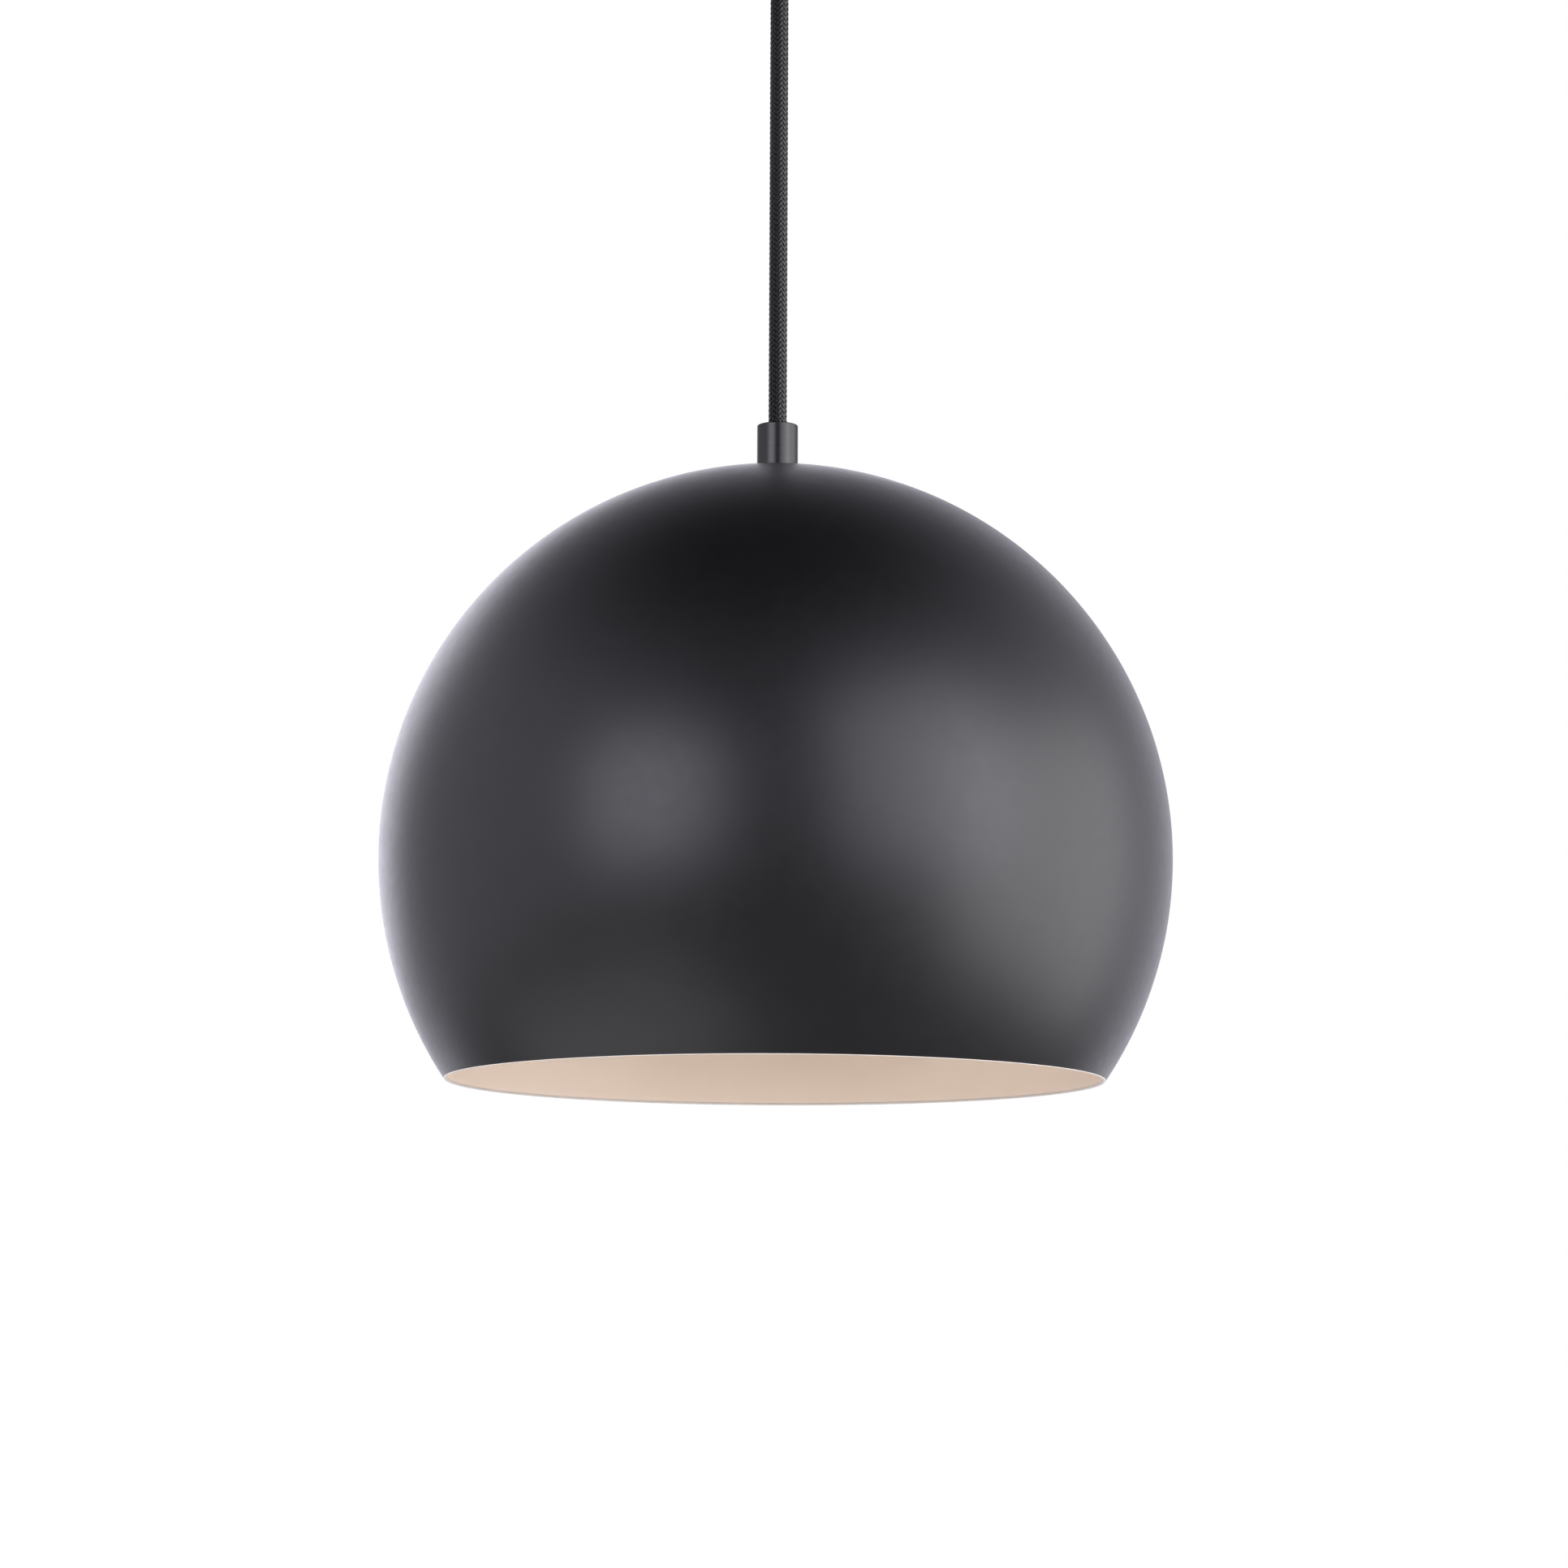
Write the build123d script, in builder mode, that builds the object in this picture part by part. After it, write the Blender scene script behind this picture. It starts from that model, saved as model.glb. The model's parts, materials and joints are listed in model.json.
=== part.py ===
from build123d import *

import os
from math import acos, atan2, cos, pi, radians, sin, sqrt, tan

# Pendant ceiling light: a spun ball shade on a straight cord under a round canopy.
# Millimetres, +Z up. The origin is the middle of the bracket's face on the ceiling,
# and the lamp hangs down the Z axis. The front of the lamp faces -Y.

# Shade
shade_diameter = 300.0
opening_diameter = 248.0
shade_wall = 1.2
rim_rounding = 0.5
rim_rounding_share = 0.45

# Cord
cord_diameter = 6.8
cord_drop = 180.0
core_diameter = 2.2
core_gap = 0.3
conductor_diameter = 1.1
sheath_proud = 2.0
core_bend_share = 0.45

# Play between pieces, on the radius
thread_play = 0.05
cord_play = 0.15
pass_play = 0.2
contact_play = 0.05

# How far the cord bends at its two ends, each way about X and about Y
swing_limit = radians(25)
tilt_limit = radians(15)
bend_ball_inset = 0.2
bend_play = 0.12
bend_margin = 1.2
mouth_play = 0.3
flare_lead = 0.35

# Ceiling bracket
bracket_thickness = 1.5
bracket_width = 20.0
bracket_bend_radius = 1.5
slot_spacing = 60.0
slot_length = 12.0
slot_width = 4.5
ear_drop = 18.0
ear_play = 0.2
wing_overlap = 15.0

# Canopy cover
canopy_diameter = 100.0
canopy_height = 28.0
canopy_wall = 1.0
canopy_edge_radius = 4.0
side_screw_depth = 11.0

# Cord gland under the cover
gland_diameter = 18.0
gland_drop = 12.0
gland_mouth_depth = 2.2
gland_edge = 0.8
gland_washer_diameter = 20.0

# Ten-millimetre thread of the gland's stem and the shade's nipple
stem_diameter = 10.0
nipple_play = 0.3
stem_proud = 1.0
nut_across_flats = 14.0
nut_thickness = 4.0
washer_thickness = 1.0

# Small screws
screw_diameter = 4.0
screw_head_diameter = 7.0
screw_head_height = 2.4
screw_slot_width = 1.0
screw_slot_depth = 1.1
screw_end = 0.3
grub_diameter = 4.0
grub_socket = 2.0
grub_socket_depth = 2.0
grub_inset = 0.2

# Terminal block under the bracket's wing
pole_pitch = 8.0
pole_count = 3
block_lug = 5.0
block_depth = 18.0
block_height = 11.0
block_gap = 3.0
block_screw_diameter = 2.0
block_screw_head_diameter = 4.4
block_screw_head_height = 2.0
tube_wall = 0.8
tube_inset = 0.5
wire_play = 0.15
lead_gap = 0.2
pole_screw_diameter = 3.0
pole_screw_spacing = 9.0
pole_screw_slot = 0.6
bare_length = 5.0

# Earth screw and tag on the bracket
earth_x = -17.0
earth_y = -5.0
tag_diameter = 8.0
tag_thickness = 0.8
tag_tongue_width = 3.0
tag_barrel_diameter = 3.2
tag_barrel_length = 5.0
lead_run = 3.0

# Collar on the shade
collar_diameter = 15.7
collar_height = 18.0
collar_edge = 0.4
collar_mouth_depth = 2.0
collar_thread_depth = 8.0

# Washer under the shade's top
shade_washer_diameter = 20.0

# Lamp holder
holder_diameter = 40.0
holder_wall = 1.0
neck_diameter = 17.0
neck_height = 8.0
shoulder_height = 12.0
shoulder_rounding = 4.0
cap_height = 32.0
body_height = 34.0
body_wall = 2.2
spigot_height = 5.0
spigot_wall = 1.2
ledge_play = 0.4
ledge_height = 2.0
rib_count = 36
rib_radius = 0.7
insert_thickness = 11.0
insert_rise = 6.0

# Contacts of the lamp holder
terminal_circle = 17.0
terminal_width = 6.0
terminal_depth = 7.0
terminal_height = 6.0
terminal_screw_diameter = 2.5
terminal_screw_length = 2.6
terminal_screw_proud = 1.2
terminal_screw_slot = 0.6
earth_strip_thickness = 0.8
rivet_diameter = 3.0
leaf_width = 6.0
leaf_thickness = 0.6
leaf_drop = 2.5
leaf_reach = 3.5
leaf_play = 0.5
shell_wall = 0.6
shell_length = 20.0
shell_play = 0.35

# Bulb with a 27 mm screw cap
thread_diameter = 26.2
thread_depth = 0.9
thread_pitch = 3.6
thread_turns = 5
cap_wall = 0.5
cap_skirt = 4.0
tip_diameter = 9.5
tip_height = 1.5
insulator_height = 4.0
insulator_inset = 1.2
bulb_neck_diameter = 27.0
bulb_body_height = 40.0
bulb_body_diameter = 56.0
bulb_body_wall = 2.0
bulb_spigot = 12.0
globe_bulge = 2.0
globe_wall = 1.5
board_thickness = 1.5
board_ledge = 2.0
chip_size = 3.0
chip_height = 0.8
chip_circle = 32.0
chip_count = 10
driver_width = 16.0
driver_thickness = 1.6
driver_height = 24.0

# Radii
shade_radius = shade_diameter / 2
shade_inner_radius = shade_radius - shade_wall
cord_radius = cord_diameter / 2
cord_bore = cord_radius + cord_play
bend_ball_radius = cord_radius - bend_ball_inset
bend_cup_radius = bend_ball_radius + bend_play
canopy_radius = canopy_diameter / 2
gland_radius = gland_diameter / 2
collar_radius = collar_diameter / 2
stem_radius = stem_diameter / 2
stem_hole = stem_radius + pass_play
tapped_stem_hole = stem_radius + thread_play
holder_radius = holder_diameter / 2
globe_radius = bulb_body_diameter / 2 + globe_bulge

# Diagonal bend when both axes stand at their limit, and the half gap that it needs in the cord
swing_diagonal = acos(cos(swing_limit) ** 2)
tilt_diagonal = acos(cos(tilt_limit) ** 2)
swing_gap = bend_margin * cord_radius * tan(swing_diagonal / 2)
tilt_gap = bend_margin * cord_radius * tan(tilt_diagonal / 2)

# Bell mouths that let the cord bend that far, and how deep past the pivot they start
gland_mouth = cord_radius / cos(swing_diagonal) + gland_mouth_depth * tan(swing_diagonal) + mouth_play
collar_mouth = cord_radius / cos(tilt_diagonal) + collar_mouth_depth * tan(tilt_diagonal) + mouth_play
gland_flare = cord_radius * sin(swing_diagonal) - swing_gap * cos(swing_diagonal) + flare_lead
collar_flare = cord_radius * sin(tilt_diagonal) - tilt_gap * cos(tilt_diagonal) + flare_lead

# Heights of the ceiling end
bracket_under = -bracket_thickness
cover_under = -canopy_height
cover_floor = cover_under + canopy_wall
gland_nut_under = cover_floor + washer_thickness
stem_top = gland_nut_under + nut_thickness + stem_proud
sheath_top = stem_top + sheath_proud
gland_under = cover_under - gland_drop
upper_pivot = gland_under + gland_mouth_depth
gland_grub_height = (upper_pivot + gland_flare + cover_under) / 2
pole_height = bracket_under - block_height / 2

# Heights of the shade end
collar_top = gland_under - cord_drop
lower_pivot = collar_top - collar_mouth_depth
cord_middle = (upper_pivot + lower_pivot) / 2
collar_under = collar_top - collar_height
collar_thread_top = collar_under + collar_thread_depth
collar_grub_height = (lower_pivot - collar_flare + collar_thread_top) / 2
shade_centre = collar_under - sqrt(shade_radius**2 - stem_hole**2)
rim_drop = sqrt(shade_radius**2 - (opening_diameter / 2) ** 2)
washer_top = shade_centre + sqrt(shade_inner_radius**2 - (shade_washer_diameter / 2) ** 2)
lock_nut_top = washer_top - washer_thickness
holder_top = lock_nut_top - nut_thickness
neck_under = holder_top - neck_height
sheath_under = neck_under - sheath_proud
shoulder_under = neck_under - shoulder_height
cap_under = holder_top - cap_height
body_under = cap_under - body_height
insert_top = cap_under + insert_rise
insert_under = insert_top - insert_thickness
terminal_top = insert_top + terminal_height
leaf_under = insert_under - leaf_drop - leaf_thickness

# Heights of the bulb
tip_top = leaf_under - contact_play
insulator_top = tip_top - tip_height
thread_top = insulator_top - insulator_height
thread_under = thread_top - thread_turns * thread_pitch
bulb_neck_top = thread_under - cap_skirt
bulb_joint = bulb_neck_top - bulb_body_height
globe_centre = bulb_joint - sqrt(globe_radius**2 - (bulb_body_diameter / 2) ** 2)


def turned(*outline):
    """Face inside a closed outline of (radius, height) points, ready to turn about the Z axis."""
    with BuildSketch(Plane.XZ) as face:
        with BuildLine():
            Polyline(*outline, close=True)
        make_face()
    return face.sketch


def washer(under, diameter, bore_radius):
    """Flat washer with its lower face at the given height."""
    with BuildPart() as ring:
        with BuildSketch(Plane.XY.offset(under)):
            Circle(diameter / 2)
            Circle(bore_radius, mode=Mode.SUBTRACT)
        extrude(amount=washer_thickness)
    return ring


def hex_nut(under):
    """Thin hexagon nut for the ten-millimetre thread, with its lower face at the given height."""
    with BuildPart() as nut:
        with BuildSketch(Plane.XY.offset(under)):
            RegularPolygon(nut_across_flats / 2, 6, major_radius=False)
            Circle(tapped_stem_hole, mode=Mode.SUBTRACT)
        extrude(amount=nut_thickness)
    return nut


def grub_screw(height, carrier_radius):
    """Grub screw along +Y that clamps the cord, from the cord's side to just below its carrier's side."""
    tip = cord_radius + contact_play
    length = sqrt(carrier_radius**2 - (grub_diameter / 2) ** 2) - grub_inset - tip
    base = Plane((0, tip, height), x_dir=(1, 0, 0), z_dir=(0, 1, 0))
    with BuildPart() as screw:
        with BuildSketch(base):
            Circle(grub_diameter / 2)
        extrude(amount=length)
        with BuildSketch(base.offset(length)):
            RegularPolygon(grub_socket / 2, 6, major_radius=False)
        extrude(amount=-grub_socket_depth, mode=Mode.SUBTRACT)
    return screw


def pan_screw(seat, shank_length, shank_diameter, head_diameter, head_height):
    """Slotted pan-head screw: its head stands on the seat plane and its shank goes down behind it."""
    with BuildPart() as screw:
        with BuildSketch(seat):
            Circle(head_diameter / 2)
        extrude(amount=head_height)
        crown = screw.faces().sort_by(Axis(seat.origin, seat.z_dir))[-1]
        fillet(crown.edges(), head_height / 3)
        with BuildSketch(seat):
            Circle(shank_diameter / 2)
        extrude(amount=-shank_length)
        with BuildSketch(seat.offset(head_height)):
            Rectangle(head_diameter, screw_slot_width)
        extrude(amount=-min(screw_slot_depth, head_height / 2), mode=Mode.SUBTRACT)
    return screw


def bend_radii(route):
    """Radius for each corner of a route, as large as the two runs that meet there allow."""
    points = [Vector(*point) for point in route]
    runs = [end - start for start, end in zip(points, points[1:])]
    radii = []
    for run, following in zip(runs, runs[1:]):
        turn = radians(run.get_angle(following))
        radii.append(core_bend_share * min(run.length, following.length) / tan(turn / 2))
    return radii


def insulated_core(*route):
    """Insulated core along a route of points, with its conductor bared past the last one."""
    with BuildPart() as core:
        with BuildLine() as path:
            FilletPolyline(*route, radius=bend_radii(route))
        with BuildSketch(Plane(path.line @ 0, z_dir=path.line % 0)):
            Circle(core_diameter / 2)
        sweep()
        with BuildSketch(Plane(path.line @ 1, z_dir=path.line % 1)):
            Circle(conductor_diameter / 2)
        extrude(amount=bare_length)
    return core


def cord_length(top, under, top_cup, under_cup):
    """Straight length of cord, hollowed at an end to cup the bend ball around that end's pivot."""
    with BuildPart() as length:
        with BuildSketch(Plane.XY.offset(under)):
            Circle(cord_radius)
        extrude(amount=top - under)
        for pivot in (top_cup, under_cup):
            if pivot is not None:
                with Locations((0, 0, pivot)):
                    Sphere(bend_cup_radius, mode=Mode.SUBTRACT)
    return length


def bend_ball(pivot):
    """Ball of cord that stands for the few millimetres that flex at a bell mouth."""
    with BuildPart() as ball:
        with Locations((0, 0, pivot)):
            Sphere(bend_ball_radius)
    return ball


# Ceiling bracket: strap with bent ears, slots for the ceiling screws and a wing for the terminals
cover_inner_radius = canopy_radius - canopy_wall
ear_face = sqrt(cover_inner_radius**2 - (bracket_width / 2) ** 2) - ear_play
block_front = bracket_width / 2 + block_gap
block_middle = block_front + block_depth / 2
wing_end = block_front + wing_overlap
block_width = pole_count * pole_pitch + 2 * block_lug
block_screw_x = (block_width - block_lug) / 2
strap_middle = bracket_thickness / 2

with BuildPart() as ceiling_bracket:
    with BuildSketch(Plane.XZ):
        with BuildLine():
            FilletPolyline(
                (strap_middle - ear_face, -ear_drop),
                (strap_middle - ear_face, -strap_middle),
                (ear_face - strap_middle, -strap_middle),
                (ear_face - strap_middle, -ear_drop),
                radius=bracket_bend_radius + strap_middle,
            )
        trace(line_width=bracket_thickness)
    extrude(amount=bracket_width / 2, both=True)
    with BuildSketch(Plane.XY):
        with Locations((0, wing_end / 2)):
            Rectangle(block_width, wing_end)
    extrude(amount=-bracket_thickness)
    with BuildSketch(Plane.XY):
        with GridLocations(slot_spacing, 0, 2, 1):
            SlotOverall(slot_length, slot_width)
        with Locations((earth_x, earth_y)):
            Circle(screw_diameter / 2 + thread_play)
        with Locations((block_screw_x, block_middle)):
            Circle(block_screw_diameter / 2 + thread_play)
    extrude(amount=-bracket_thickness, mode=Mode.SUBTRACT)
    with BuildSketch(Plane.YZ):
        with Locations((0, -side_screw_depth)):
            Circle(screw_diameter / 2 + thread_play)
    extrude(amount=canopy_radius, both=True, mode=Mode.SUBTRACT)

# Canopy cover: spun cup with a hole for the gland and two for the side screws
with BuildPart() as canopy_cover:
    with BuildSketch(Plane.XZ) as cup:
        with BuildLine():
            Polyline((0, 0), (0, cover_under), (canopy_radius, cover_under), (canopy_radius, 0), close=True)
        make_face()
        cup_edge = cup.vertices().group_by(Axis.X)[-1].sort_by(Axis.Y)[0]
        fillet(cup_edge, canopy_edge_radius)
    revolve(axis=Axis.Z)
    offset(amount=-canopy_wall, openings=canopy_cover.faces().sort_by(Axis.Z)[-1])
    with BuildSketch(Plane.XY.offset(cover_under)):
        Circle(stem_hole)
    extrude(amount=canopy_wall, mode=Mode.SUBTRACT)
    with BuildSketch(Plane.YZ):
        with Locations((0, -side_screw_depth)):
            Circle(screw_diameter / 2 + pass_play)
    extrude(amount=canopy_radius, both=True, mode=Mode.SUBTRACT)

# Side screws: cover to bracket ears
side_screw_length = canopy_radius - ear_face + 2 * bracket_thickness
with BuildPart() as canopy_side_screws:
    for side in (-1, 1):
        side_seat = Plane((side * canopy_radius, 0, -side_screw_depth), x_dir=(0, 1, 0), z_dir=(side, 0, 0))
        side_screw = pan_screw(
            side_seat, side_screw_length, screw_diameter, screw_head_diameter, screw_head_height
        )
        add(side_screw.part)

# Gland: body with a bell mouth under the cover, hollow threaded stem through it
with BuildPart() as canopy_gland:
    gland_outline = turned(
        (gland_radius, gland_under),
        (gland_radius, cover_under),
        (stem_radius, cover_under),
        (stem_radius, stem_top),
        (cord_bore, stem_top),
        (cord_bore, upper_pivot + gland_flare),
        (gland_mouth, gland_under),
    )
    revolve(gland_outline, axis=Axis.Z)
    gland_corner = canopy_gland.faces().sort_by(Axis.Z)[0].edges().sort_by(SortBy.RADIUS)[-1]
    fillet(gland_corner, gland_edge)
    with BuildSketch(Plane.XZ):
        with Locations((0, gland_grub_height)):
            Circle(grub_diameter / 2 + thread_play)
    extrude(amount=-gland_radius, mode=Mode.SUBTRACT)

gland_washer = washer(cover_floor, gland_washer_diameter, stem_hole)
gland_nut = hex_nut(gland_nut_under)
gland_grub_screw = grub_screw(gland_grub_height, gland_radius)

# Terminal block: three poles in a row, wires along Y, clamp screws from below
pole_screw_top = pole_height - conductor_diameter / 2 - contact_play
block_under = bracket_under - block_height
lead_spacing = core_diameter + lead_gap
tube_bore_radius = (lead_spacing + conductor_diameter) / 2 + wire_play
tube_radius = tube_bore_radius + tube_wall

with BuildPart() as terminal_block:
    with BuildSketch(Plane.XY.offset(block_under)):
        with Locations((0, block_middle)):
            Rectangle(block_width, block_depth)
    extrude(amount=block_height)
    with BuildSketch(Plane.XZ.offset(-block_front)):
        with Locations((0, pole_height)):
            with GridLocations(pole_pitch, 0, pole_count, 1):
                Circle(tube_radius + thread_play)
    extrude(amount=-block_depth, mode=Mode.SUBTRACT)
    with BuildSketch(Plane.XY.offset(block_under)):
        with Locations((0, block_middle)):
            with GridLocations(pole_pitch, pole_screw_spacing, pole_count, 2):
                Circle(pole_screw_diameter / 2 + pass_play)
    extrude(amount=pole_height - block_under, mode=Mode.SUBTRACT)
    with Locations(Plane((block_screw_x, block_middle, block_under), z_dir=(0, 0, -1))):
        CounterBoreHole(
            block_screw_diameter / 2 + pass_play / 2,
            block_screw_head_diameter / 2 + pass_play / 2,
            block_screw_head_height,
            depth=block_height,
        )

with BuildPart() as terminal_tubes:
    with BuildSketch(Plane.XZ.offset(-block_front - tube_inset)):
        with Locations((0, pole_height)):
            with GridLocations(pole_pitch, 0, pole_count, 1):
                Circle(tube_radius)
                Circle(tube_bore_radius, mode=Mode.SUBTRACT)
    extrude(amount=2 * tube_inset - block_depth)
    with BuildSketch(Plane.XY.offset(block_under)):
        with Locations((0, block_middle)):
            with GridLocations(pole_pitch, pole_screw_spacing, pole_count, 2):
                Circle(pole_screw_diameter / 2 + thread_play)
    extrude(amount=pole_height - block_under, mode=Mode.SUBTRACT)

with BuildPart() as terminal_screws:
    with BuildSketch(Plane.XY.offset(block_under)):
        with Locations((0, block_middle)):
            with GridLocations(pole_pitch, pole_screw_spacing, pole_count, 2):
                Circle(pole_screw_diameter / 2)
    extrude(amount=pole_screw_top - block_under)
    with BuildSketch(Plane.XY.offset(block_under)):
        with Locations((0, block_middle)):
            with GridLocations(pole_pitch, pole_screw_spacing, pole_count, 2):
                Rectangle(pole_screw_diameter, pole_screw_slot)
    extrude(amount=pole_screw_slot, mode=Mode.SUBTRACT)

block_screw_seat = Plane(
    (block_screw_x, block_middle, block_under + block_screw_head_height), z_dir=(0, 0, -1)
)
block_screw_length = -block_screw_seat.origin.Z - screw_end
terminal_block_screw = pan_screw(
    block_screw_seat,
    block_screw_length,
    block_screw_diameter,
    block_screw_head_diameter,
    block_screw_head_height,
)

# Earth screw and ring tag under the strap
tag_under = bracket_under - tag_thickness
barrel_height = bracket_under - tag_barrel_diameter / 2 - contact_play
barrel_start = earth_y + tag_diameter / 2
barrel_end = barrel_start + tag_barrel_length

earth_seat = Plane((earth_x, earth_y, tag_under), z_dir=(0, 0, -1))
earth_screw = pan_screw(
    earth_seat, -tag_under - screw_end, screw_diameter, screw_head_diameter, screw_head_height
)

with BuildPart() as earth_tag:
    with BuildSketch(Plane.XY.offset(tag_under)):
        with Locations((earth_x, earth_y)):
            Circle(tag_diameter / 2)
        with Locations((earth_x, (earth_y + barrel_end) / 2)):
            Rectangle(tag_tongue_width, barrel_end - earth_y)
        with Locations((earth_x, earth_y)):
            Circle(screw_diameter / 2 + pass_play, mode=Mode.SUBTRACT)
    extrude(amount=tag_thickness)
    with BuildSketch(Plane.XZ.offset(-barrel_start)):
        with Locations((earth_x, barrel_height)):
            Circle(tag_barrel_diameter / 2)
    extrude(amount=-tag_barrel_length)

# Clamped head of the cord, and its cores to the terminals
cord_head = cord_length(sheath_top, upper_pivot + swing_gap, None, upper_pivot)
core_offset = (core_diameter + core_gap) / sqrt(3)
pole_live = 0.0
pole_neutral = pole_pitch
pole_earth = lead_spacing / 2 - pole_pitch
side_core_x = core_offset * cos(pi / 6)
side_core_y = -core_offset * sin(pi / 6)
block_entry = block_front + tube_inset
core_turn_y = block_front - lead_run

live_core_upper = insulated_core(
    (pole_live, core_offset, sheath_top),
    (pole_live, core_offset, pole_height),
    (pole_live, block_entry, pole_height),
)
neutral_core_upper = insulated_core(
    (side_core_x, side_core_y, sheath_top),
    (side_core_x, side_core_y, pole_height),
    (pole_neutral, core_turn_y, pole_height),
    (pole_neutral, block_entry, pole_height),
)
earth_core_upper = insulated_core(
    (-side_core_x, side_core_y, sheath_top),
    (-side_core_x, side_core_y, pole_height),
    (pole_earth, core_turn_y, pole_height),
    (pole_earth, block_entry, pole_height),
)
bracket_earth_lead = insulated_core(
    (earth_x, barrel_end, barrel_height),
    (earth_x, barrel_end + lead_run, barrel_height),
    (pole_earth - lead_spacing, core_turn_y, pole_height),
    (pole_earth - lead_spacing, block_entry, pole_height),
)

# Free cord, in two lengths that turn on each other, with a bend at each end
cord_upper_bend = bend_ball(upper_pivot)
cord_upper = cord_length(upper_pivot - swing_gap, cord_middle, upper_pivot, None)
cord_lower = cord_length(cord_middle, lower_pivot + tilt_gap, None, lower_pivot)
cord_lower_bend = bend_ball(lower_pivot)

# Shade: spun ball with a hole at the top and a rounded rim
rim_angle = atan2(rim_drop, opening_diameter / 2)
shade_plane = Plane((0, 0, shade_centre), x_dir=(1, 0, 0), z_dir=(0, -1, 0))

with BuildPart() as shade:
    with BuildSketch(shade_plane) as shade_wall_profile:
        with BuildLine():
            top_outside = (stem_hole, sqrt(shade_radius**2 - stem_hole**2))
            top_inside = (stem_hole, sqrt(shade_inner_radius**2 - stem_hole**2))
            rim_outside = (opening_diameter / 2, -rim_drop)
            rim_inside = (shade_inner_radius * cos(rim_angle), -shade_inner_radius * sin(rim_angle))
            ThreePointArc(top_outside, (shade_radius, 0), rim_outside)
            Line(rim_outside, rim_inside)
            ThreePointArc(rim_inside, (shade_inner_radius, 0), top_inside)
            Line(top_inside, top_outside)
        make_face()
        rim_corners = shade_wall_profile.vertices().sort_by(Axis.Y)[:2]
        fillet(rim_corners, min(rim_rounding, rim_rounding_share * shade_wall))
    revolve(axis=Axis.Z)

# Collar: cord grip with a bell mouth on top and a thread for the nipple below
with BuildPart() as shade_collar:
    collar_outline = turned(
        (collar_radius, collar_under),
        (collar_radius, collar_top),
        (collar_mouth, collar_top),
        (cord_bore, lower_pivot - collar_flare),
        (cord_bore, collar_thread_top),
        (tapped_stem_hole, collar_thread_top),
        (tapped_stem_hole, collar_under),
    )
    revolve(collar_outline, axis=Axis.Z)
    collar_corner = shade_collar.faces().sort_by(Axis.Z)[-1].edges().sort_by(SortBy.RADIUS)[-1]
    fillet(collar_corner, collar_edge)
    with BuildSketch(Plane.XZ):
        with Locations((0, collar_grub_height)):
            Circle(grub_diameter / 2 + thread_play)
    extrude(amount=-collar_radius, mode=Mode.SUBTRACT)

collar_grub_screw = grub_screw(collar_grub_height, collar_radius)

# Hollow nipple from the collar through the shade into the lamp holder's neck
with BuildPart() as threaded_nipple:
    with BuildSketch(Plane.XY.offset(neck_under)):
        Circle(stem_radius)
        Circle(cord_radius + nipple_play, mode=Mode.SUBTRACT)
    extrude(amount=collar_thread_top - neck_under)

shade_washer = washer(lock_nut_top, shade_washer_diameter, stem_hole)
shade_lock_nut = hex_nut(holder_top)

# Lamp holder: metal cap, moulded body with grip ribs, and the insert between them
cap_inner_radius = holder_radius - holder_wall
spigot_radius = cap_inner_radius - cord_play
spigot_bore = spigot_radius - spigot_wall
insert_radius = spigot_bore - cord_play
shell_radius = thread_diameter / 2 + shell_play
ledge_radius = shell_radius + shell_wall + ledge_play
body_bore = holder_radius - body_wall
neck_radius = neck_diameter / 2

with BuildPart() as holder_cap:
    cap_outline = turned(
        (tapped_stem_hole, holder_top),
        (neck_radius, holder_top),
        (neck_radius, neck_under),
        (holder_radius, shoulder_under),
        (holder_radius, cap_under),
        (cap_inner_radius, cap_under),
        (cap_inner_radius, shoulder_under),
        (neck_radius - holder_wall, neck_under),
        (tapped_stem_hole, neck_under),
    )
    revolve(cap_outline, axis=Axis.Z)
    shoulder_edges = holder_cap.edges().filter_by(
        lambda edge: abs(edge.center().Z - shoulder_under) < contact_play
    )
    fillet(shoulder_edges.sort_by(SortBy.RADIUS)[-1], shoulder_rounding)

with BuildPart() as holder_body:
    with BuildSketch(Plane.XY.offset(body_under)):
        Circle(holder_radius - rib_radius)
        with PolarLocations(holder_radius - rib_radius, rib_count):
            Circle(rib_radius)
    extrude(amount=body_height)
    with BuildSketch(Plane.XY.offset(cap_under)):
        Circle(spigot_radius)
    extrude(amount=spigot_height)
    bore_outline = turned(
        (0, body_under),
        (body_bore, body_under),
        (body_bore, insert_under - ledge_height),
        (ledge_radius, insert_under - ledge_height),
        (ledge_radius, insert_under),
        (spigot_bore, insert_under),
        (spigot_bore, cap_under + spigot_height),
        (0, cap_under + spigot_height),
    )
    revolve(bore_outline, axis=Axis.Z, mode=Mode.SUBTRACT)

# Three wire terminals stand on the insert: live, neutral and earth
terminal_radius = terminal_circle / 2
leaf_outer = terminal_radius + rivet_diameter / 2
live_angle = 90
neutral_angle = 210
earth_angle = 330
conductor_hole = conductor_diameter / 2 + pass_play


def radial_plane(angle, height):
    """Plane across the lamp's axis at a height, with its X axis pointing out at the angle."""
    out = (cos(radians(angle)), sin(radians(angle)), 0)
    return Plane((0, 0, height), x_dir=out, z_dir=(0, 0, 1))


def terminal_screw_plane(angle):
    """Plane on a terminal's outer face, looking out along the terminal's clamp screw."""
    out = Vector(cos(radians(angle)), sin(radians(angle)), 0)
    face = out * (terminal_radius + terminal_depth / 2)
    return Plane((face.X, face.Y, insert_top + terminal_height / 2), z_dir=out)


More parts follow.
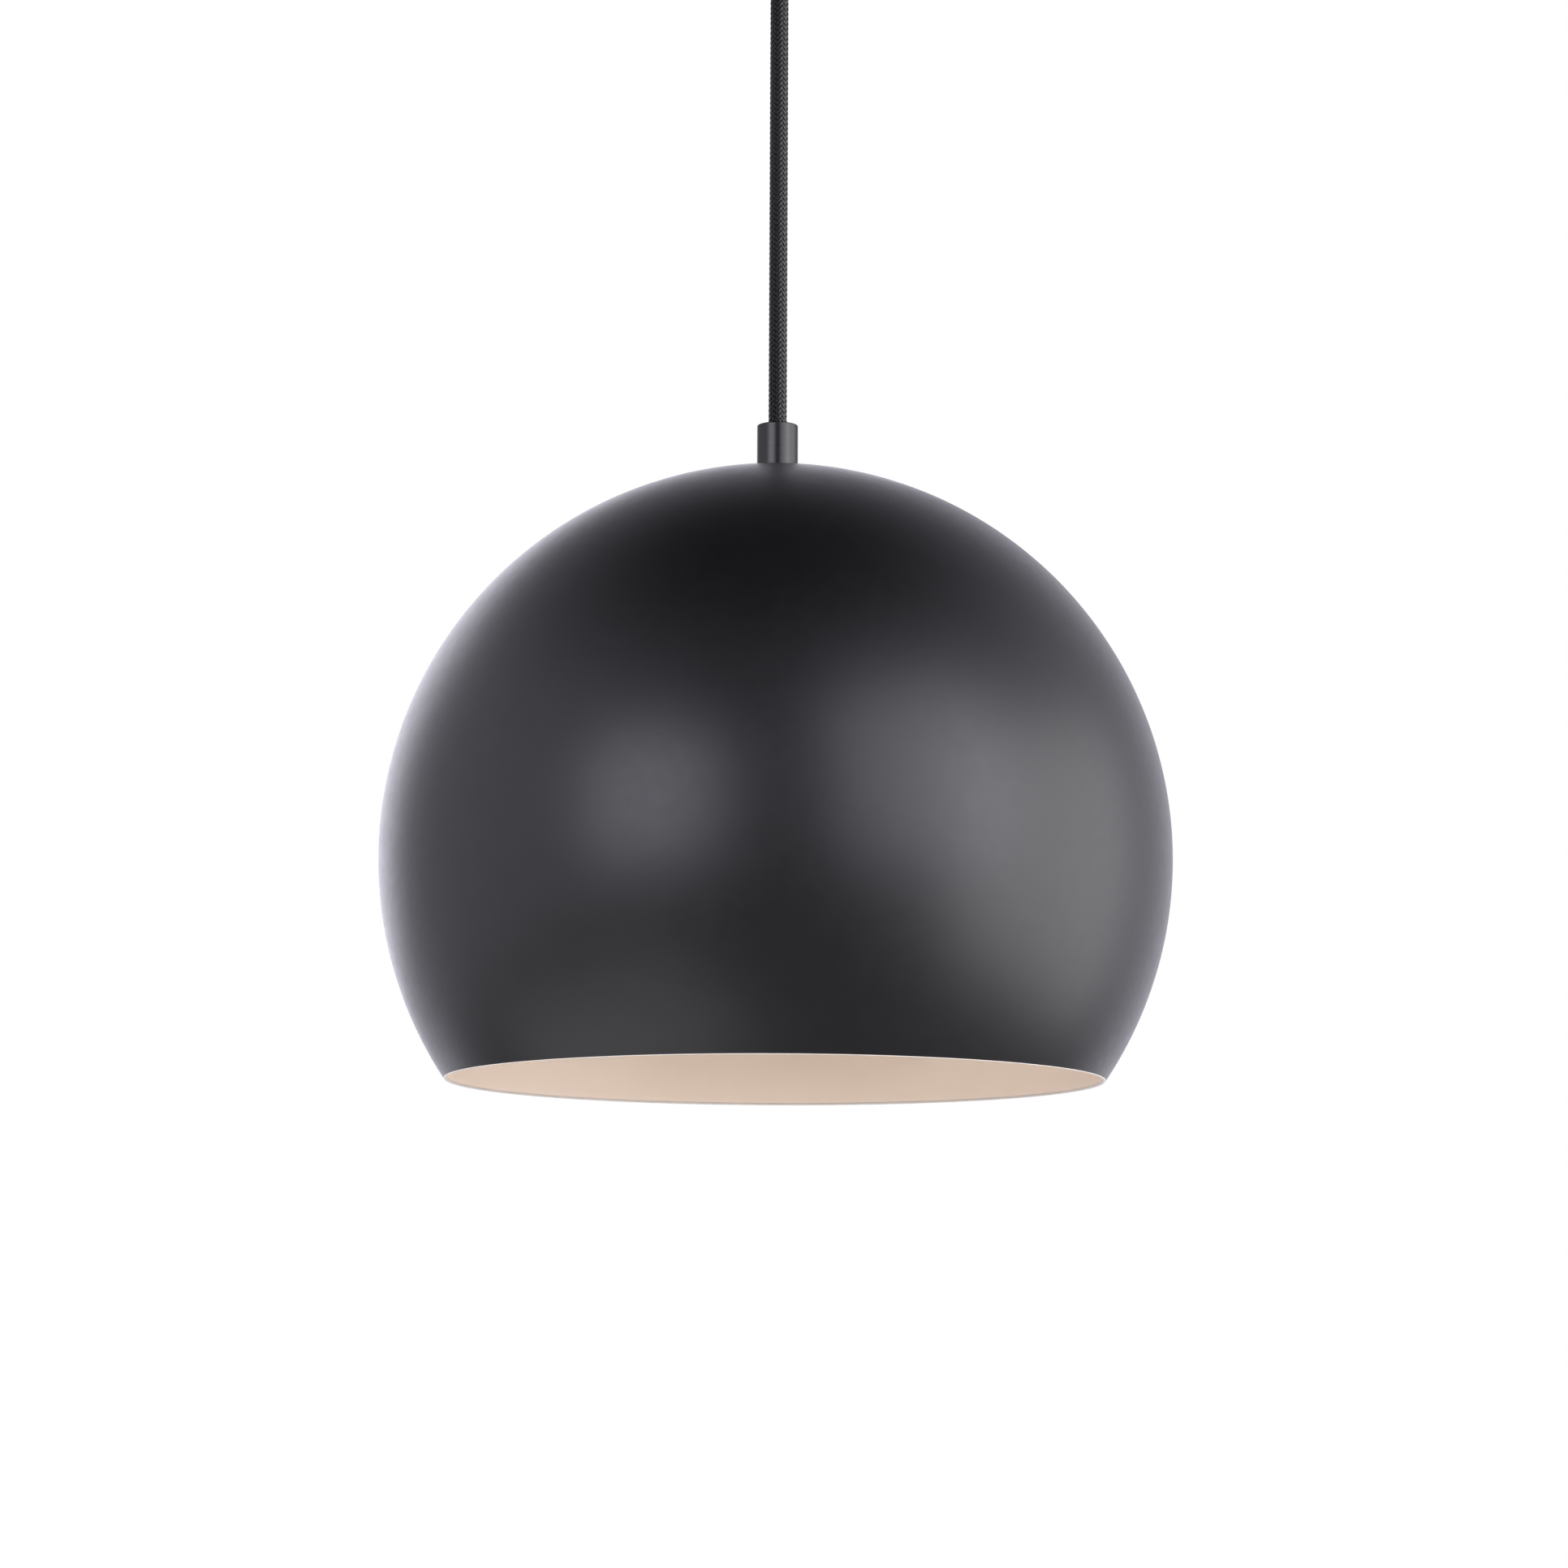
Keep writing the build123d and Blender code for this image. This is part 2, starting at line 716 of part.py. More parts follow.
with BuildPart() as holder_insert:
    with BuildSketch(Plane.XY.offset(insert_under)):
        Circle(insert_radius)
        for angle in (live_angle, neutral_angle):
            with PolarLocations(terminal_radius, 1, angle):
                Circle(rivet_diameter / 2 + thread_play, mode=Mode.SUBTRACT)
    extrude(amount=insert_thickness)

with BuildPart() as holder_terminals:
    for angle in (live_angle, neutral_angle, earth_angle):
        with BuildSketch(radial_plane(angle, insert_top)):
            with Locations((terminal_radius, 0)):
                Rectangle(terminal_depth, terminal_width)
        extrude(amount=terminal_height)
        with BuildSketch(radial_plane(angle, terminal_top)):
            with Locations((terminal_radius, 0)):
                Circle(conductor_hole)
        extrude(amount=-terminal_height, mode=Mode.SUBTRACT)
        with BuildSketch(terminal_screw_plane(angle)):
            Circle(terminal_screw_diameter / 2 + thread_play)
        extrude(amount=-terminal_depth / 2, mode=Mode.SUBTRACT)
    strip_start = terminal_radius
    strip_end = cap_inner_radius - cord_play
    with BuildSketch(radial_plane(earth_angle, insert_top)):
        with Locations(((strip_start + strip_end) / 2, 0)):
            Rectangle(strip_end - strip_start, terminal_width / 2)
        with Locations((terminal_radius, 0)):
            Circle(conductor_hole, mode=Mode.SUBTRACT)
    extrude(amount=earth_strip_thickness)

with BuildPart() as holder_terminal_screws:
    for angle in (live_angle, neutral_angle, earth_angle):
        screw_face = terminal_screw_plane(angle).offset(terminal_screw_proud)
        with BuildSketch(screw_face):
            Circle(terminal_screw_diameter / 2)
        extrude(amount=-terminal_screw_length - terminal_screw_proud)
        with BuildSketch(screw_face):
            Rectangle(terminal_screw_diameter, terminal_screw_slot)
        extrude(amount=-terminal_screw_slot, mode=Mode.SUBTRACT)

# Screw shell, riveted up to the neutral terminal
flange_radius = sqrt(leaf_outer**2 + (leaf_width / 2) ** 2) + leaf_play
with BuildPart() as holder_screw_shell:
    shell_outline = turned(
        (flange_radius, insert_under),
        (shell_radius + shell_wall, insert_under),
        (shell_radius + shell_wall, insert_under - shell_length),
        (shell_radius, insert_under - shell_length),
        (shell_radius, insert_under - shell_wall),
        (flange_radius, insert_under - shell_wall),
    )
    revolve(shell_outline, axis=Axis.Z)
    tab_end = shell_radius
    tab_start = terminal_radius - leaf_width / 2
    with BuildSketch(radial_plane(neutral_angle, insert_under)):
        with Locations(((tab_start + tab_end) / 2, 0)):
            Rectangle(tab_end - tab_start, leaf_width)
    extrude(amount=-shell_wall)
    with BuildSketch(radial_plane(neutral_angle, insert_under)):
        with Locations((terminal_radius, 0)):
            Circle(rivet_diameter / 2)
    extrude(amount=insert_thickness)

# Centre contact: bent leaf under the insert, riveted up to the live terminal
leaf_middle = insert_under - leaf_thickness / 2
live_out = Vector(cos(radians(live_angle)), sin(radians(live_angle)), 0)
live_side = Plane((0, 0, leaf_middle), x_dir=live_out, z_dir=live_out.cross(Vector(0, 0, 1)))

with BuildPart() as holder_centre_contact:
    with BuildSketch(live_side):
        with BuildLine():
            Polyline(
                (leaf_outer, 0),
                (leaf_outer - rivet_diameter, 0),
                (leaf_reach, -leaf_drop),
                (-leaf_reach, -leaf_drop),
            )
        trace(line_width=leaf_thickness)
    extrude(amount=leaf_width / 2, both=True)
    with BuildSketch(radial_plane(live_angle, insert_under)):
        with Locations((terminal_radius, 0)):
            Circle(rivet_diameter / 2)
    extrude(amount=insert_thickness)

# Clamped tail of the cord, and its cores to the lamp holder's terminals
cord_tail = cord_length(lower_pivot - tilt_gap, sheath_under, lower_pivot, None)
core_fan = (sheath_under - terminal_top) / 3


def lower_core(angle):
    """Core from the cord's tail out to the terminal at the same angle."""
    out_x = cos(radians(angle))
    out_y = sin(radians(angle))
    return insulated_core(
        (core_offset * out_x, core_offset * out_y, sheath_under),
        (core_offset * out_x, core_offset * out_y, sheath_under - core_fan),
        (terminal_radius * out_x, terminal_radius * out_y, terminal_top + core_fan),
        (terminal_radius * out_x, terminal_radius * out_y, terminal_top),
    )


live_core_lower = lower_core(live_angle)
neutral_core_lower = lower_core(neutral_angle)
earth_core_lower = lower_core(earth_angle)

# Bulb: contact tip, insulator and screw cap
thread_radius = thread_diameter / 2
thread_root = thread_radius - thread_depth
cap_bore = thread_root - cap_wall
tip_radius = tip_diameter / 2
insulator_radius = thread_root - insulator_inset

with BuildPart() as bulb_contact:
    with BuildSketch(Plane.XY.offset(insulator_top)):
        Circle(tip_radius)
    extrude(amount=tip_height)
    fillet(bulb_contact.faces().sort_by(Axis.Z)[-1].edges(), tip_height / 2)

with BuildPart() as bulb_insulator:
    insulator_outline = turned(
        (0, thread_top),
        (insulator_radius, thread_top),
        (tip_radius, insulator_top),
        (0, insulator_top),
    )
    revolve(insulator_outline, axis=Axis.Z)

with BuildPart() as bulb_screw_cap:
    with BuildSketch(Plane.XZ):
        with BuildLine():
            Polyline(
                (thread_root, thread_under),
                (thread_root, bulb_neck_top),
                (cap_bore, bulb_neck_top),
                (cap_bore, thread_top - cap_wall),
                (0, thread_top - cap_wall),
                (0, thread_top),
                (thread_root, thread_top),
            )
            for turn in range(thread_turns):
                turn_top = thread_top - turn * thread_pitch
                ThreePointArc(
                    (thread_root, turn_top),
                    (thread_radius, turn_top - thread_pitch / 2),
                    (thread_root, turn_top - thread_pitch),
                )
        make_face()
    revolve(axis=Axis.Z)

# Bulb body: hollow cone with a spigot in the cap and a seat for the light board
neck_outer = bulb_neck_diameter / 2
joint_outer = bulb_body_diameter / 2
joint_inner = joint_outer - bulb_body_wall
board_top = bulb_joint + board_thickness
spigot_outer = cap_bore - contact_play

with BuildPart() as bulb_body:
    body_outline = turned(
        (spigot_outer, bulb_neck_top + bulb_spigot),
        (spigot_outer, bulb_neck_top),
        (neck_outer, bulb_neck_top),
        (joint_outer, bulb_joint),
        (joint_inner, bulb_joint),
        (joint_inner, board_top),
        (joint_inner - board_ledge, board_top),
        (spigot_outer - bulb_body_wall, bulb_neck_top - bulb_body_wall),
        (spigot_outer - bulb_body_wall, bulb_neck_top + bulb_spigot),
    )
    revolve(body_outline, axis=Axis.Z)

# Globe: part of a ball, cut where it stands on the bulb body
globe_plane = Plane((0, 0, globe_centre), x_dir=(1, 0, 0), z_dir=(0, -1, 0))
globe_inner_radius = globe_radius - globe_wall
joint_rise = bulb_joint - globe_centre
globe_inner_joint = sqrt(globe_inner_radius**2 - joint_rise**2)

with BuildPart() as bulb_globe:
    with BuildSketch(globe_plane):
        with BuildLine():
            ThreePointArc((joint_outer, joint_rise), (globe_radius, 0), (0, -globe_radius))
            Line((0, -globe_radius), (0, -globe_inner_radius))
            ThreePointArc((0, -globe_inner_radius), (globe_inner_radius, 0), (globe_inner_joint, joint_rise))
            Line((globe_inner_joint, joint_rise), (joint_outer, joint_rise))
        make_face()
    revolve(axis=Axis.Z)

# Light board, its chips below and its driver above
with BuildPart() as led_board:
    with BuildSketch(Plane.XY.offset(bulb_joint)):
        Circle(joint_inner - cord_play)
    extrude(amount=board_thickness)

with BuildPart() as led_chips:
    with BuildSketch(Plane.XY.offset(bulb_joint)):
        with PolarLocations(chip_circle / 2, chip_count):
            Rectangle(chip_size, chip_size)
    extrude(amount=-chip_height)

with BuildPart() as led_driver:
    with BuildSketch(Plane.XY.offset(board_top)):
        Rectangle(driver_width, driver_thickness)
    extrude(amount=driver_height)

# Every piece is written to its own file
pieces = {
    "ceiling_bracket": ceiling_bracket,
    "canopy_cover": canopy_cover,
    "canopy_side_screws": canopy_side_screws,
    "canopy_gland": canopy_gland,
    "gland_washer": gland_washer,
    "gland_nut": gland_nut,
    "gland_grub_screw": gland_grub_screw,
    "terminal_block": terminal_block,
    "terminal_tubes": terminal_tubes,
    "terminal_screws": terminal_screws,
    "terminal_block_screw": terminal_block_screw,
    "earth_screw": earth_screw,
    "earth_tag": earth_tag,
    "bracket_earth_lead": bracket_earth_lead,
    "cord_head": cord_head,
    "live_core_upper": live_core_upper,
    "neutral_core_upper": neutral_core_upper,
    "earth_core_upper": earth_core_upper,
    "cord_upper_bend": cord_upper_bend,
    "cord_upper": cord_upper,
    "cord_lower": cord_lower,
    "cord_lower_bend": cord_lower_bend,
    "shade": shade,
    "shade_collar": shade_collar,
    "collar_grub_screw": collar_grub_screw,
    "threaded_nipple": threaded_nipple,
    "shade_washer": shade_washer,
    "shade_lock_nut": shade_lock_nut,
    "cord_tail": cord_tail,
    "live_core_lower": live_core_lower,
    "neutral_core_lower": neutral_core_lower,
    "earth_core_lower": earth_core_lower,
    "holder_cap": holder_cap,
    "holder_body": holder_body,
    "holder_insert": holder_insert,
    "holder_terminals": holder_terminals,
    "holder_terminal_screws": holder_terminal_screws,
    "holder_screw_shell": holder_screw_shell,
    "holder_centre_contact": holder_centre_contact,
    "bulb_contact": bulb_contact,
    "bulb_insulator": bulb_insulator,
    "bulb_screw_cap": bulb_screw_cap,
    "bulb_body": bulb_body,
    "bulb_globe": bulb_globe,
    "led_board": led_board,
    "led_chips": led_chips,
    "led_driver": led_driver,
}

os.makedirs("parts", exist_ok=True)
for name, piece in pieces.items():
    piece.part.label = name
    export_step(piece.part, f"parts/{name}.step")

print(f"cord pivots at {upper_pivot:.2f} and {lower_pivot:.2f}, cord middle at {cord_middle:.2f}")
print(f"shade centre at {shade_centre:.3f}, rim at {shade_centre - rim_drop:.3f}")
print(f"bulb from {tip_top:.2f} to {globe_centre - globe_radius:.2f}")
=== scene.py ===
import json
from math import acos, cos, degrees, pi, radians, sin, sqrt, tan

import bpy
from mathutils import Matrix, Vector


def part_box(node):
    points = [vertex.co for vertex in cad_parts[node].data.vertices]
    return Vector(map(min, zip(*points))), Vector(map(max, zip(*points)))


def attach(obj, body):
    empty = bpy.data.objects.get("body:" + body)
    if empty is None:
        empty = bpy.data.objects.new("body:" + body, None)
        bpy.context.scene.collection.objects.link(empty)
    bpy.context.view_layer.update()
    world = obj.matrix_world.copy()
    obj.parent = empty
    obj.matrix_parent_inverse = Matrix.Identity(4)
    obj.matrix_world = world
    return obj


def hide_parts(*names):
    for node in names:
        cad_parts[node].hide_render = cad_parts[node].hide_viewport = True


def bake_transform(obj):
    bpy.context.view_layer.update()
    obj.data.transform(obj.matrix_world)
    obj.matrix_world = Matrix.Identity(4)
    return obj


# Pendant ceiling light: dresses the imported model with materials, a braided cord and rolled threads.
# The frame is the CAD model's: metres, +Z up. Sizes of pieces are in millimetres, as in the CAD source,
# and the heights that they start from are read from the frame.

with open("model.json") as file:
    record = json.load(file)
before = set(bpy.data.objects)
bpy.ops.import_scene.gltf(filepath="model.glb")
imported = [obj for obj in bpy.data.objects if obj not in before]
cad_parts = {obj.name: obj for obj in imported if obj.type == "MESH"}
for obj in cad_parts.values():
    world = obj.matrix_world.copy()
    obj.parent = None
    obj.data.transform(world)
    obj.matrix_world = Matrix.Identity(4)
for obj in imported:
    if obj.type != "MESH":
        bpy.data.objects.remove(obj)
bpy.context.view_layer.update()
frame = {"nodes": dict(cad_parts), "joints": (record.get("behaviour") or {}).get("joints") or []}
scene = bpy.context.scene
scene.view_settings.view_transform = "Standard"

MM = 0.001
joints = {joint["name"]: joint for joint in frame["joints"]}


def top_of(node):
    """Height of a CAD node's highest point, in millimetres."""
    _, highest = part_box(node)
    return highest.z / MM


def under_of(node):
    """Height of a CAD node's lowest point, in millimetres."""
    lowest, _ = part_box(node)
    return lowest.z / MM


# Shade; the white of its lip starts a little above the rounding and goes over the first steps of it
shade_radius = 150.0
shade_wall = 1.2
shade_hole = 5.2
opening_radius = 124.0
rim_rounding = 0.5
white_lip = 0.08
white_steps = 2
shade_segments = 192
outside_steps = 120
inside_steps = 90
rim_steps = 5
shade_top = top_of("shade")
shade_centre = shade_top - sqrt(shade_radius**2 - shade_hole**2)

# Cord: a free run between two pivots, and the two ends that are clamped in the gland and the collar
cord_diameter = 6.8
clamped_end_gap = 4.4
upper_pivot = joints["cord_swing_x"]["pos_m"][2] / MM
lower_pivot = joints["shade_tilt_x"]["pos_m"][2] / MM
cord_head_top = top_of("cord_head")
cord_tail_under = under_of("cord_tail")
free_route_points = 4
clamped_route_points = 3
spline_order = 3
spline_steps = 16
sheath_segments = 24
sheath_end_steps = 6

# Braid over the cord's sheath; its crests stand proud of the plain cord, within the play of the bores
braid_proud = 0.14
braid_radius = cord_diameter / 2 + braid_proud
braid_lead = 24.0
carriers_each_way = 12
crossings_per_wave = 4
samples_per_wave = 8
strand_width = 1.17
strand_thickness = 0.33
strand_rise = 0.17
strand_overrun = 0.7

# Corners of a strand's section, as shares of its width and thickness
strand_corners = ((0.5, 0.0), (0.27, 0.5), (-0.27, 0.5), (-0.5, 0.0), (-0.27, -0.5), (0.27, -0.5))

# Steps between strands in the yarn's own coordinates, so that no two have the same filaments
strand_shift_along = 7.3
strand_shift_across = 3.7

# Rolled thread of the bulb's cap and of the shell that it goes into
thread_pitch = 3.6
thread_turns = 5
thread_fade_turns = 0.5
thread_step = 0.225
thread_segments = 96
sharp_angle = 50

# Screw cap of the bulb
cap_top = top_of("bulb_screw_cap")
cap_root = 12.2
cap_depth = 0.9
cap_skirt = 4.0
cap_wall = 0.5
cap_chamfer = 0.4

# Screw shell of the lamp holder, with the tongue and the rivet that join it to the neutral terminal
shell_length = 20.0
shell_top = under_of("holder_screw_shell") + shell_length
shell_radius = 13.45
shell_wall = 0.6
shell_depth = 0.35
shell_flange = 10.94
tongue_angle = 210.0
tongue_start = 5.5
tongue_width = 6.0
rivet_distance = 8.5
rivet_radius = 1.5
rivet_length = 11.0
rivet_segments = 32

# Camera: sensor and lens in millimetres, place in metres, angles in degrees
camera_sensor = 36.0
camera_lens = 105.0
camera_place = (0.0, -1.71969, -0.60489)
camera_pitch = 8.138
camera_yaw = 0.101
camera_roll = 0.243

# Studio, in metres and degrees
light_distance = 3.0
lamp_middle = Vector((0.0, 0.0, shade_centre * MM))
cool_light = (0.90, 0.89, 1.0)
neutral_light = (1.0, 0.98, 1.0)
fill_elevation = -10.0
fill_half_width = 20.0
fill_half_height = 8.0

# Surround that lights the object: its brightness, and where it starts and ends to grow from front to back,
# or to fade upwards
beside_brightness = 0.60
beside_range = (-0.81, -0.26)
behind_brightness = 1.22
behind_range = (0.69, 1.0)
height_range = (0.54, 0.92)

# Floor, in metres: its white near the lamp and far away, and its brightness in gloss and on the object
floor_height = -3.2
floor_radius = 7.4
floor_corners = 96
floor_near = 1.0
floor_near_white = 0.88
floor_far_white = 0.97
floor_in_gloss = 0.05
floor_on_object = 0.90
floor_grey = 0.15


# Helpers for meshes

def add_piece(name, verts, faces, body, replaced, materials):
    """Adds a mesh, in millimetres, as a piece that stands for CAD nodes and rides on a body, if any."""
    mesh = bpy.data.meshes.new(name)
    mesh.from_pydata([[length * MM for length in vert] for vert in verts], [], faces)
    mesh.validate()
    for item in materials:
        mesh.materials.append(item)
    piece = bpy.data.objects.new(name, mesh)
    scene.collection.objects.link(piece)
    mesh.shade_smooth()
    if body is not None:
        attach(piece, body)
    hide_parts(*replaced)
    return piece


def append_mesh(verts, faces, more_verts, more_faces):
    """Appends vertices and the faces between them to the lists of a mesh."""
    first = len(verts)
    verts.extend(more_verts)
    faces.extend(tuple(first + corner for corner in corners) for corners in more_faces)


def lathe(outline, segments, ripple=None):
    """Vertices, faces and the outline step of each face, for a closed outline turned about the Z axis.

    The outline runs so that the solid lies on its right hand, seen with the radius to the right and Z up.
    ripple(radius, height, angle) gives the radius of threaded surfaces.
    """
    verts = []
    rings = []
    for radius, height in outline:
        if radius == 0:
            rings.append([len(verts)] * segments)
            verts.append((0.0, 0.0, height))
            continue
        rings.append(list(range(len(verts), len(verts) + segments)))
        for step in range(segments):
            angle = 2 * pi * step / segments
            here = ripple(radius, height, angle) if ripple else radius
            verts.append((here * cos(angle), here * sin(angle), height))
    faces = []
    steps = []
    for number, ring in enumerate(rings):
        following = rings[(number + 1) % len(rings)]
        for step in range(segments):
            ahead = (step + 1) % segments
            corners = (ring[step], following[step], following[ahead], ring[ahead])
            corners = tuple(dict.fromkeys(corners))
            if len(corners) > 2:
                faces.append(corners)
                steps.append(number)
    return verts, faces, steps


def tube_faces(ring_count, corner_count):
    """Faces of a tube with closed ends; the first ring's corners run anticlockwise, seen from outside."""
    faces = []
    for step in range(ring_count - 1):
        ring = corner_count * step
        following = ring + corner_count
        for corner in range(corner_count):
            ahead = (corner + 1) % corner_count
            faces.append((ring + corner, following + corner, following + ahead, ring + ahead))
    last = corner_count * (ring_count - 1)
    faces.append(tuple(range(corner_count)))
    faces.append(tuple(last + corner for corner in reversed(range(corner_count))))
    return faces


def arc(centre, radius, start, end, count):
    """Points from one angle to another, in degrees, about a centre given as (radius, height)."""
    points = []
    for step in range(count + 1):
        angle = radians(start + (end - start) * step / count)
        points.append((centre[0] + radius * cos(angle), centre[1] + radius * sin(angle)))
    return points


# Helpers for materials

def feed(tree, socket, value):
    """Sets an input to a value, or links it to another node's output."""
    if isinstance(value, bpy.types.NodeSocket):
        tree.links.new(value, socket)
    else:
        socket.default_value = value


def add_node(tree, kind, **inputs):
    """Adds a node and feeds its named inputs."""
    made = tree.nodes.new(kind)
    for name, value in inputs.items():
        feed(tree, made.inputs[name.replace("_", " ")], value)
    return made


def new_material(name):
    """Material with an empty node tree, and the surface input of its output node."""
    made = bpy.data.materials.new(name)
    made.use_nodes = True
    tree = made.node_tree
    tree.nodes.clear()
    surface = tree.nodes.new("ShaderNodeOutputMaterial").inputs["Surface"]
    return made, tree, surface


def object_place(tree):
    """Coordinates of the piece itself."""
    return tree.nodes.new("ShaderNodeTexCoord").outputs["Object"]


def stretched(tree, place, scale):
    """Coordinates scaled along each axis."""
    return add_node(tree, "ShaderNodeMapping", Vector=place, Scale=scale).outputs["Vector"]


def noise(tree, place, scale, detail=3.0):
    """Noise value between nought and one, with a scale per unit of its coordinates."""
    return add_node(tree, "ShaderNodeTexNoise", Vector=place, Scale=scale, Detail=detail).outputs["Fac"]


def spread(tree, value, low, high, start=0.3, end=0.7):
    """Value stretched so that start and end become low and high."""
    made = add_node(tree, "ShaderNodeMapRange", Value=value, From_Min=start, From_Max=end,
                    To_Min=low, To_Max=high)
    return made.outputs["Result"]


def combined(tree, operation, first, second):
    """Result of a sum on two values, each a number or a socket."""
    made = tree.nodes.new("ShaderNodeMath")
    made.operation = operation
    feed(tree, made.inputs[0], first)
    feed(tree, made.inputs[1], second)
    return made.outputs["Value"]


def mixed(tree, share, first, second):
    """Colour between two colours, at a share from nought to one."""
    made = tree.nodes.new("ShaderNodeMix")
    made.data_type = "RGBA"
    feed(tree, made.inputs["Factor"], share)
    ends = [socket for socket in made.inputs if socket.type == "RGBA"]
    for socket, colour in zip(ends, (first, second)):
        socket.default_value = (*colour, 1.0)
    return next(socket for socket in made.outputs if socket.type == "RGBA")


def relief(tree, height, depth):
    """Normal of a fine relief, with its depth in metres."""
    return add_node(tree, "ShaderNodeBump", Height=height, Strength=1.0, Distance=depth).outputs["Normal"]


def cover(tree, surface, **inputs):
    """Joins a shader with these inputs to a material's surface."""
    shader = add_node(tree, "ShaderNodeBsdfPrincipled", **inputs)
    tree.links.new(shader.outputs["BSDF"], surface)


def coated(name, colour, tint, tint_scale, roughness, rough_spread, rough_scale,
           bump_scale, bump_height, stretch=(1.0, 1.0, 1.0), **inputs):
    """Painted, moulded or plated material: colour, gloss and relief each follow their own noise."""
    made, tree, surface = new_material(name)
    place = stretched(tree, object_place(tree), stretch)
    tint_share = spread(tree, noise(tree, place, tint_scale), 0.0, 1.0)
    gloss = noise(tree, place, rough_scale)
    grain = noise(tree, place, bump_scale, detail=2.0)
    cover(
        tree,
        surface,
        Base_Color=mixed(tree, tint_share, colour, tint),
        Roughness=spread(tree, gloss, roughness - rough_spread, roughness + rough_spread),
        Normal=relief(tree, grain, bump_height),
        **inputs,
    )
    return made


# Materials of the shade and the cord's fittings

black_coat = coated(
    "black_powder_coat",
    colour=(0.0040, 0.0039, 0.0050), tint=(0.0054, 0.0053, 0.0066), tint_scale=90.0,
    roughness=0.40, rough_spread=0.015, rough_scale=240.0,
    bump_scale=1900.0, bump_height=1.2e-6,
    Specular_IOR_Level=1.0,
)
cream_coat = coated(
    "cream_inside_coat",
    colour=(0.93, 0.83, 0.735), tint=(0.90, 0.80, 0.705), tint_scale=30.0,
    roughness=0.55, rough_spread=0.04, rough_scale=200.0,
    bump_scale=1500.0, bump_height=4e-6,
)
white_edge = coated(
    "white_edge_coat",
    colour=(0.76, 0.70, 0.64), tint=(0.72, 0.66, 0.60), tint_scale=300.0,
    roughness=0.45, rough_spread=0.04, rough_scale=900.0,
    bump_scale=2500.0, bump_height=3e-6,
)
# Grey for the rim's end face and inner rounding
grey_edge = coated(
    "grey_rim_edge",
    colour=(0.54, 0.49, 0.45), tint=(0.49, 0.445, 0.41), tint_scale=300.0,
    roughness=0.45, rough_spread=0.05, rough_scale=900.0,
    bump_scale=2500.0, bump_height=3e-6,
)
black_plate = coated(
    "black_plate",
    colour=(0.088, 0.088, 0.087), tint=(0.096, 0.096, 0.095), tint_scale=200.0,
    roughness=0.34, rough_spread=0.02, rough_scale=700.0,
    bump_scale=2600.0, bump_height=1.5e-6,
    stretch=(1.0, 1.0, 6.0), Metallic=1.0, Specular_Tint=(0.66, 0.66, 0.66, 1.0),
)

# Materials of the metal parts

zinc_plate = coated(
    "zinc_plate",
    colour=(0.52, 0.53, 0.55), tint=(0.60, 0.59, 0.56), tint_scale=160.0,
    roughness=0.43, rough_spread=0.08, rough_scale=420.0,
    bump_scale=2200.0, bump_height=3e-6,
    Metallic=1.0,
)
brass_metal = coated(
    "brass",
    colour=(0.70, 0.50, 0.22), tint=(0.60, 0.41, 0.17), tint_scale=220.0,
    roughness=0.30, rough_spread=0.08, rough_scale=500.0,
    bump_scale=2500.0, bump_height=2e-6,
    Metallic=1.0,
)
nickel_plate = coated(
    "nickel_plate",
    colour=(0.66, 0.63, 0.58), tint=(0.72, 0.70, 0.67), tint_scale=180.0,
    roughness=0.22, rough_spread=0.06, rough_scale=500.0,
    bump_scale=2000.0, bump_height=2e-6,
    Metallic=1.0,
)

# Materials of the terminals and the lamp holder

terminal_nylon = coated(
    "terminal_nylon",
    colour=(0.80, 0.80, 0.77), tint=(0.75, 0.75, 0.71), tint_scale=120.0,
    roughness=0.46, rough_spread=0.05, rough_scale=500.0,
    bump_scale=1600.0, bump_height=5e-6,
)
holder_moulding = coated(
    "holder_moulding",
    colour=(0.010, 0.010, 0.011), tint=(0.014, 0.014, 0.015), tint_scale=150.0,
    roughness=0.48, rough_spread=0.05, rough_scale=600.0,
    bump_scale=2400.0, bump_height=8e-6,
)
glazed_ceramic = coated(
    "glazed_ceramic",
    colour=(0.82, 0.80, 0.75), tint=(0.77, 0.75, 0.69), tint_scale=140.0,
    roughness=0.18, rough_spread=0.05, rough_scale=300.0,
    bump_scale=350.0, bump_height=2e-5,
)

# Materials of the bulb

bulb_moulding = coated(
    "bulb_moulding",
    colour=(0.68, 0.68, 0.67), tint=(0.64, 0.64, 0.63), tint_scale=60.0,
    roughness=0.42, rough_spread=0.04, rough_scale=400.0,
    bump_scale=2000.0, bump_height=3e-6,
)
milky_globe = coated(
    "milky_globe",
    colour=(0.68, 0.68, 0.66), tint=(0.65, 0.65, 0.63), tint_scale=40.0,
    roughness=0.38, rough_spread=0.03, rough_scale=300.0,
    bump_scale=1800.0, bump_height=2e-6,
    Subsurface_Weight=0.35, Subsurface_Scale=0.004,
)
dark_glass = coated(
    "dark_glass",
    colour=(0.010, 0.010, 0.012), tint=(0.016, 0.015, 0.017), tint_scale=200.0,
    roughness=0.12, rough_spread=0.04, rough_scale=400.0,
    bump_scale=900.0, bump_height=6e-6,
)
board_white = coated(
    "board_white",
    colour=(0.78, 0.79, 0.77), tint=(0.74, 0.75, 0.73), tint_scale=150.0,
    roughness=0.35, rough_spread=0.05, rough_scale=500.0,
    bump_scale=1500.0, bump_height=4e-6,
)
board_green = coated(
    "board_green",
    colour=(0.02, 0.14, 0.06), tint=(0.015, 0.10, 0.045), tint_scale=300.0,
    roughness=0.32, rough_spread=0.06, rough_scale=700.0,
    bump_scale=1400.0, bump_height=1.2e-5,
)
